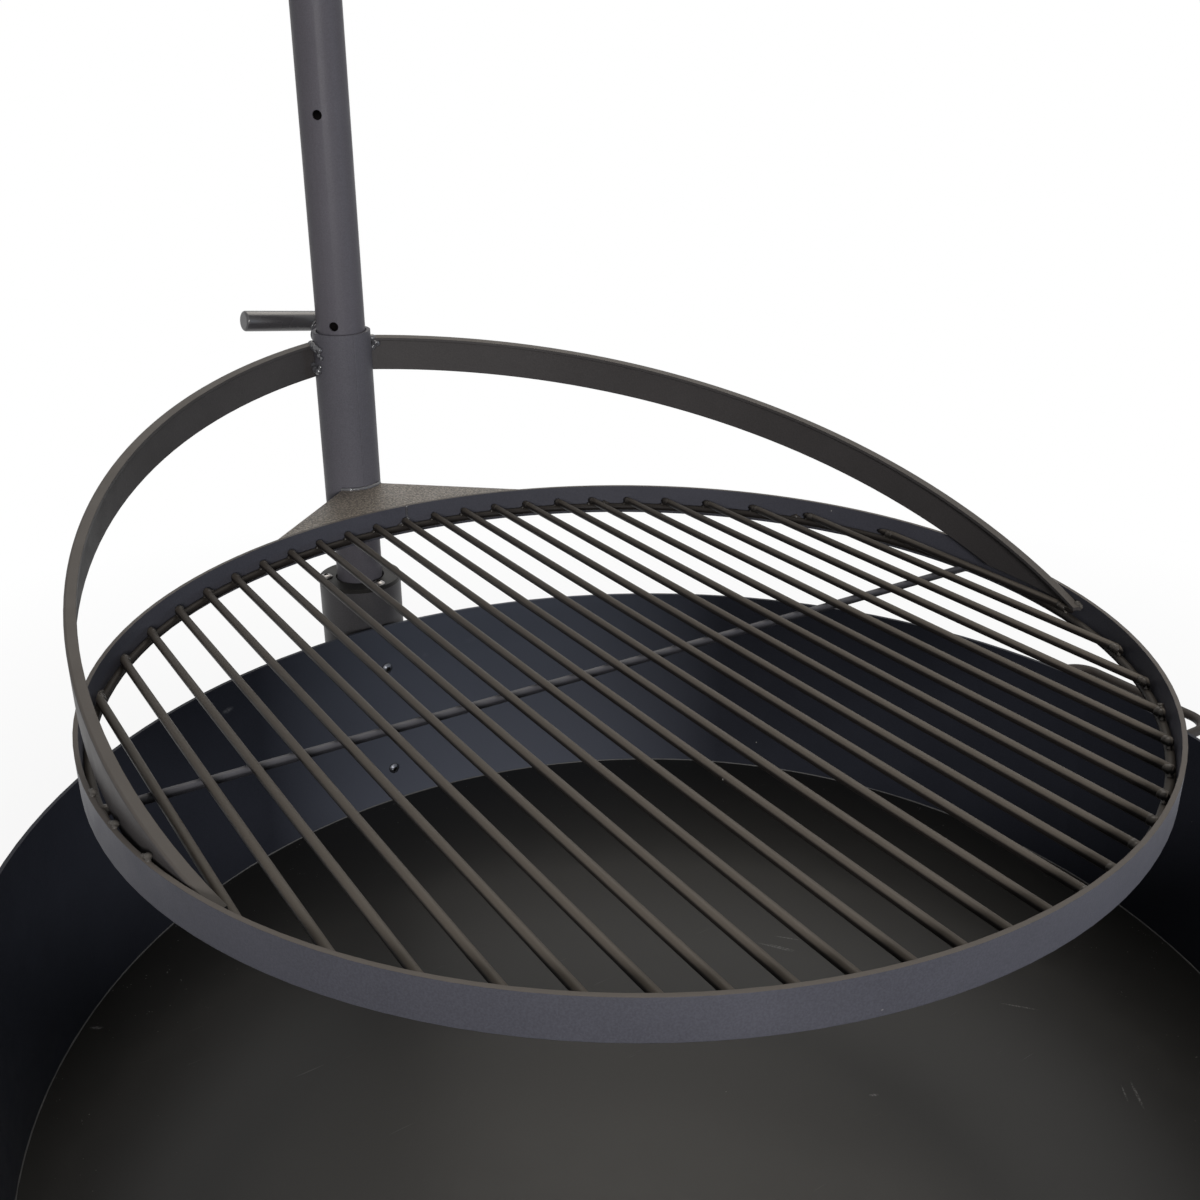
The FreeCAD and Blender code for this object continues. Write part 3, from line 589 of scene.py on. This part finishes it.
# round the boss, each puddle slides along the screw's axis to the sleeve's surface
boss_reach = 0.0122
bead_off_sleeve = 0.0006
boss_bead = []
for puddle, radius in ring_of_puddles(lock_origin, screw_axis, boss_reach, radius=0.0022, count=26):
    surface = math.sqrt(sleeve_radius ** 2 - puddle.x ** 2)
    slide = (surface - (puddle.y - socket_y)) / screw_axis.y
    boss_bead.append((puddle + screw_axis * (slide + bead_off_sleeve), radius))
weld("lock_boss_weld", "carriage", boss_bead)

# Hoop. Flat bar 25 x 3 mm on edge, rolled to 700 mm, with its butt weld on the inner face
# under the plate. Its upper edge is lighter with ash and with painted light from above.
hoop_coat = ash_and_painted_toplight(powder_coat("hoop_coat", (0.052, 0.053, 0.065), shine=0.48, gloss=0.12,
                                dust=0.71, edge=0.0008), ash_and_painted_light=(0.12, 0.105, 0.09), bare=0.3)
finish(hoop_coat, "hoop")
hoop_low, hoop_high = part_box("hoop")
hoop_radius = (hoop_high.x - hoop_low.x) / 2
hoop_centre = ((hoop_high.x + hoop_low.x) / 2, (hoop_high.y + hoop_low.y) / 2)
hoop_sheet = 0.003
hoop_inside = hoop_radius - hoop_sheet


def on_hoop(angle, inward, height):
    # a place by the hoop's inner face, so far in from it
    return around(hoop_centre, hoop_inside - inward, angle, height)


butt_angle = 88.4
butt_margin = 0.001
weld("hoop_butt_weld", "carriage",
     along(on_hoop(butt_angle, 0, hoop_low.z + butt_margin),
           on_hoop(butt_angle, 0, hoop_high.z - butt_margin), radius=0.0013))
weld("hoop_butt_blob", "carriage",
     [(on_hoop(butt_angle + 0.9, 0.0012, hoop_low.z + 0.0085), 0.0034),
      (on_hoop(butt_angle + 0.3, 0.0014, hoop_low.z + 0.0065), 0.003),
      (on_hoop(butt_angle, 0.001, hoop_low.z + 0.013), 0.0022)])

# Ring rod, bars and cross rod. Round 6 mm rod: the ring rod is tacked inside the hoop, and
# each bar lies on it with both ends welded down. Ash lies on their tops, which painted light
# from above makes lighter still, with the undersides dark as painted shade; they get darker
# towards the back.


def darkened_to_back(coat, front, back, depth):
    # the coat darkens evenly from the front of the grate to its back
    tree, coordinates, tint = opened(coat)
    back_darkening = between(tree, part_of(tree, coordinates["Object"], "Y"), front, back, top=depth)
    back_dark = (0.012, 0.01, 0.009)
    return recoloured(coat, mix_colours(tree, back_darkening, tint, back_dark))


darkening_front = -0.1
darkening_back = 0.3
bar_coat = darkened_to_back(ash_and_painted_toplight(powder_coat("bar_coat", (0.013, 0.011, 0.01), shine=0.46, gloss=0.1),
                          ash_and_painted_light=(0.112, 0.098, 0.083), bare=0.28, covered=0.62, strength=0.9),
                  darkening_front, darkening_back, depth=0.6)
bar_count = 24
bar_names = [f"grill_bar_{number:02d}" for number in range(1, bar_count + 1)]
finish(bar_coat, *bar_names)
# painted shade: the ring rod's coat and the ash on it are darker than the bars', as the hoop shades
# it
shaded_ring_coat = darkened_to_back(ash_and_painted_toplight(powder_coat("shaded_ring_coat", (0.012, 0.01, 0.009), shine=0.5, gloss=0.1),
                           ash_and_painted_light=(0.055, 0.049, 0.043), bare=0.2, covered=0.9),
                   darkening_front, darkening_back, depth=0.5)
finish(shaded_ring_coat, "inner_ring")
cross_coat = ash_and_painted_toplight(powder_coat("cross_coat", (0.016, 0.016, 0.019), shine=0.42, gloss=0.16),
                     ash_and_painted_light=(0.085, 0.085, 0.095), bare=0.1, covered=0.8)
finish(cross_coat, "cross_rod")
rod_weld_coat = darkened_to_back(ash_and_painted_toplight(powder_coat("rod_weld_coat", (0.02, 0.018, 0.016), shine=0.38,
                                           gloss=0.2), ash_and_painted_light=(0.08, 0.07, 0.06)),
                       darkening_front, darkening_back, depth=0.6)
rod_radius = 0.003
ring_gap = 0.0005
ring_reach = hoop_inside - ring_gap - rod_radius
ring_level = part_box("inner_ring")[0].z + rod_radius
bar_level = ring_level + 2 * rod_radius
grate_turn = math.radians(1.8)
bar_pitch = 0.028
bar_shift = -0.0048
bar_end_gap = 0.003
bars_left = 11
bar_lie = Vector((math.sin(grate_turn), math.cos(grate_turn), 0))
bar_step = Vector((math.cos(grate_turn), -math.sin(grate_turn), 0))
middle = Vector((hoop_centre[0], hoop_centre[1], bar_level))
end_inset = 0.001
end_overlap = 0.0006
end_puddle = 0.0032
inner_puddle = 0.0033
side_puddle = 0.0017


def end_weld(tip, inward):
    # two puddles over a bar's end, and a small one low on each of its sides
    out = Vector((tip.x - hoop_centre[0], tip.y - hoop_centre[1], 0)).normalized()
    beside = Vector((-out.y, out.x, 0))
    root = tip - out * end_inset
    sides = [(root + beside * (hand * end_puddle) - up(inner_puddle), side_puddle)
             for hand in (-1, 1)]
    return [(root - out * end_overlap, end_puddle), (root + inward * rod_radius, inner_puddle),
            *sides]


end_puddles = {"front": [], "back": []}
for number in range(bar_count):
    aside = (number - bars_left) * bar_pitch + bar_shift
    half = math.sqrt((hoop_inside - bar_end_gap) ** 2 - aside ** 2)
    for word, way in (("front", -1), ("back", 1)):
        tip = middle + bar_step * aside + bar_lie * (way * half)
        end_puddles[word] += end_weld(tip, inward=-bar_lie * way)
for word, puddles in end_puddles.items():
    weld(f"bar_end_welds_{word}", "carriage", puddles, coat=rod_weld_coat, flow=3)
# each tack is a large puddle between two small ones, in the corner of hoop and ring rod
ring_inward = ring_gap + rod_radius
tack_angles = (151.6, 122.9, 89.3, 58, 28.7, -14, -43.2, -75, -105, -135)
tack_spread = 0.5
for number, angle in enumerate(tack_angles, start=1):
    weld(f"ring_tack_{number:02d}", "carriage",
         [(on_hoop(angle - tack_spread, ring_inward - 0.0022, ring_level + 0.0022), 0.0019),
          (on_hoop(angle, ring_inward - 0.0024, ring_level + 0.0028), 0.0025),
          (on_hoop(angle + tack_spread, ring_inward - 0.0022, ring_level + 0.002), 0.0018)],
         coat=rod_weld_coat)
cross_offset = 0.0127
cross_inset = 0.0035
cross_overlap = 0.002
cross_middle = Vector((hoop_centre[0], hoop_centre[1] + cross_offset, ring_level))
for word, way in (("right", 1), ("left", -1)):
    end = cross_middle + bar_step * (way * (ring_reach - cross_inset))
    weld(f"cross_rod_weld_{word}", "carriage",
         [(end, 0.0038), (end + bar_step * way * cross_overlap, 0.0036)], coat=rod_weld_coat)

# Plate between hoop and sleeve. Flame cut 4 mm sheet with a coarser coat, whose sparkle is painted
# as light flecks, welded to both: a bead along the sleeve above and below, and one under the
# hoop's outer face.


def plate_finish(name, dark, light):
    coat = powder_coat(name, dark, shine=0.42, gloss=0.3, grain=0.0008, grain_scale=420)
    tree, coordinates, tint = opened(coat)
    # painted glints: light flecks in the coat's colour stand in for its sparkle
    painted_glints = between(tree, noise(tree, coordinates["Object"], scale=560, detail=1), 0.42, 0.62)
    return recoloured(coat, mix_colours(tree, painted_glints, tint, light))


def arc_run(centre, reach, height, start, end, radius):
    # puddles along an arc about an upright axis, from one angle to another in degrees
    count = max(2, round(math.radians(end - start) * reach / (radius * puddle_step)))
    return [(around(centre, reach, start + (end - start) * number / count, height), radius)
            for number in range(count + 1)]


finish(plate_finish("plate_coat", (0.09, 0.078, 0.065), (0.285, 0.25, 0.208)), "gusset_plate")
plate_low, plate_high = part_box("gusset_plate")
by_sleeve = sleeve_radius + bead_off_sleeve
bead_off_plate = 0.0004
bead_off_hoop = 0.0004
hoop_bead_drop = 0.0002
weld("plate_bead_top", "carriage",
     arc_run((0, socket_y), by_sleeve, plate_high.z + bead_off_plate, start=-134, end=-48,
             radius=0.0021))
weld("plate_bead_under", "carriage",
     arc_run((0, socket_y), by_sleeve, plate_low.z - bead_off_plate, start=-132, end=-48,
             radius=0.0022))
weld("plate_hoop_bead", "carriage",
     arc_run(hoop_centre, hoop_radius + bead_off_hoop, plate_low.z - hoop_bead_drop, start=75,
             end=105, radius=0.0019))

# Arch. Two angle bars, bent and welded from the sleeve down to the inside of the hoop, with
# lumps of weld at the sleeve and small tacks along the feet.
# ash on the upward faces, and painted light from above that makes the top flange lighter than the
# leg
arch_coat = ash_and_painted_toplight(powder_coat("arch_coat", (0.046, 0.043, 0.043), shine=0.46, gloss=0.12,
                                dust=0.7, edge=0.0007), ash_and_painted_light=(0.085, 0.076, 0.068), bare=0.35)
finish(arch_coat, "arch_right", "arch_left")
root_off_sleeve = 0.0012


def on_sleeve(angle, drop):
    # a place on the sleeve's side, so far below its top
    return around((0, socket_y), sleeve_radius + root_off_sleeve, angle, sleeve_high.z - drop)


def beside_sleeve(out, back, drop):
    # a place to the right of the sleeve, so far out from it and behind its middle
    return Vector((sleeve_radius + out, socket_y + back, sleeve_high.z - drop))


weld("arch_left_root_top", "carriage",
     [(on_sleeve(168, 0.011), 0.0042), (on_sleeve(180, 0.0115), 0.0042),
      (on_sleeve(190, 0.0125), 0.0038), (on_sleeve(199, 0.0135), 0.0034),
      (on_sleeve(195, 0.0185), 0.0026), (on_sleeve(202, 0.0205), 0.0022)])
weld("arch_left_root_foot", "carriage",
     [(on_sleeve(170, 0.029), 0.0034), (on_sleeve(181, 0.0315), 0.0038),
      (on_sleeve(190, 0.0325), 0.0036), (on_sleeve(196, 0.0285), 0.0022)])
weld("arch_right_root_top", "carriage",
     [(beside_sleeve(0.0011, 0.004, 0.0095), 0.003),
      (beside_sleeve(0.0051, 0.003, 0.011), 0.0038),
      (beside_sleeve(0.0084, 0.0025, 0.0155), 0.0042),
      (beside_sleeve(0.0046, 0.0035, 0.0195), 0.0032)])
weld("arch_right_root_foot", "carriage",
     along(beside_sleeve(0.0008, 0.0065, 0.0215), beside_sleeve(0.0008, 0.0065, 0.036),
           radius=0.0022))
tack_coat = powder_coat("tack_coat", (0.068, 0.063, 0.057), shine=0.44, gloss=0.16)
hoop_top = hoop_high.z
for letter, angle in (("a", 177.6), ("b", -176), ("c", -169.4)):
    weld(f"arch_left_tack_{letter}", "carriage",
         [(on_hoop(angle - 0.35, -0.0004, hoop_top - 0.0002), 0.0018),
          (on_hoop(angle + 0.1, 0.0006, hoop_top + 0.0006), 0.0023),
          (on_hoop(angle + 0.5, -0.0006, hoop_top - 0.0004), 0.0017)], coat=tack_coat)
for letter, angle, rise in (("a", -19.6, -0.0065), ("b", -11, 0.0005), ("c", -3, 0.0005)):
    weld(f"arch_right_tack_{letter}", "carriage",
         [(on_hoop(angle - 0.3, 0.0003, hoop_top + rise), 0.0021),
          (on_hoop(angle + 0.2, 0.0012, hoop_top + rise + 0.0006), 0.0026)], coat=tack_coat)

# Studio. A plain pale floor and a white surround, with the camera where the photograph was
# taken from: above and in front of the pit, to its left.
ground_level = -0.0005
bpy.ops.object.select_all(action="DESELECT")
bpy.ops.mesh.primitive_plane_add(size=40, location=up(ground_level))
ground = bpy.context.object
ground.name = "studio_floor"
pale = bpy.data.materials.new("pale_floor")
pale.use_nodes = True
tree = pale.node_tree
shader = tree.nodes["Principled BSDF"]
feed(tree, shader, {"Base Color": (0.55, 0.55, 0.55, 1), "Roughness": 0.9,
                    "Specular IOR Level": 0.1})


def seen_directly(tree):
    rays = tree.nodes.new("ShaderNodeLightPath")
    total = rays.outputs["Is Camera Ray"]
    for name in ("Is Glossy Ray", "Is Transmission Ray"):
        total = combined(tree, "MAXIMUM", total, rays.outputs[name])
    return total


def blend(tree, share, first, second, last):
    # the second shader shows by its share, and the first by the rest
    mix = tree.nodes.new("ShaderNodeMixShader")
    feed(tree, mix, {"Fac": share, 1: first, 2: second})
    feed(tree, last, {"Surface": mix.outputs["Shader"]})


glow = tree.nodes.new("ShaderNodeEmission")
feed(tree, glow, {"Color": (1, 1, 1, 1), "Strength": 1})
place = tree.nodes.new("ShaderNodeTexCoord").outputs["Object"]
shadow_end = 0.55
white_from = 1.3
fading = between(tree, length(tree, place), shadow_end, white_from, bottom=0.88)
blend(tree, combined(tree, "MULTIPLY", seen_directly(tree), fading), shader.outputs["BSDF"],
      glow.outputs["Emission"], last=tree.nodes["Material Output"])
ground.data.materials.append(pale)

room = bpy.data.worlds.new("studio_room")
bpy.context.scene.world = room
room.use_nodes = True
tree = room.node_tree
soft = tree.nodes["Background"]
feed(tree, soft, {"Color": (0.95, 0.96, 1.0, 1), "Strength": 0.08})
white = tree.nodes.new("ShaderNodeBackground")
feed(tree, white, {"Color": (1, 1, 1, 1), "Strength": 1})
blend(tree, seen_directly(tree), soft.outputs["Background"], white.outputs["Background"],
      last=tree.nodes["World Output"])


def softbox(name, place, target, size, power, colour):
    bpy.ops.object.light_add(type="AREA", location=place)
    lamp = bpy.context.object
    lamp.name = name
    lamp.data.shape = "DISK"
    lamp.data.size = size
    lamp.data.energy = power
    lamp.data.color = colour
    lamp.rotation_euler = (Vector(target) - Vector(place)).to_track_quat("-Z", "Y").to_euler()


softbox("main", (-1.2, -2.6, 1.08), target=(0, 0.15, 0.3), size=0.7, power=84,
        colour=(1.0, 0.98, 0.97))
softbox("overhead", (1.0, 1.3, 2.8), target=(0, 0.1, 0.2), size=2.2, power=40,
        colour=(1.0, 0.94, 0.85))
softbox("low right", (1.7, -1.7, 0.55), target=(0.1, -0.2, 0.3), size=0.6, power=6,
        colour=(0.6, 0.8, 1.0))

camera_data = bpy.data.cameras.new("camera")
camera = bpy.data.objects.new("camera", camera_data)
bpy.context.collection.objects.link(camera)
camera_data.sensor_width = 36
camera_data.sensor_height = 36
camera_data.lens = 39.58
camera_data.clip_start = 0.01
looking_down = 23.23
turned_right = 34.3
camera.location = (-0.4672, -0.5965, 0.7003)
camera.rotation_euler = (math.radians(90 - looking_down), 0, math.radians(-turned_right))
bpy.context.scene.camera = camera
bpy.context.scene.view_settings.view_transform = "Standard"
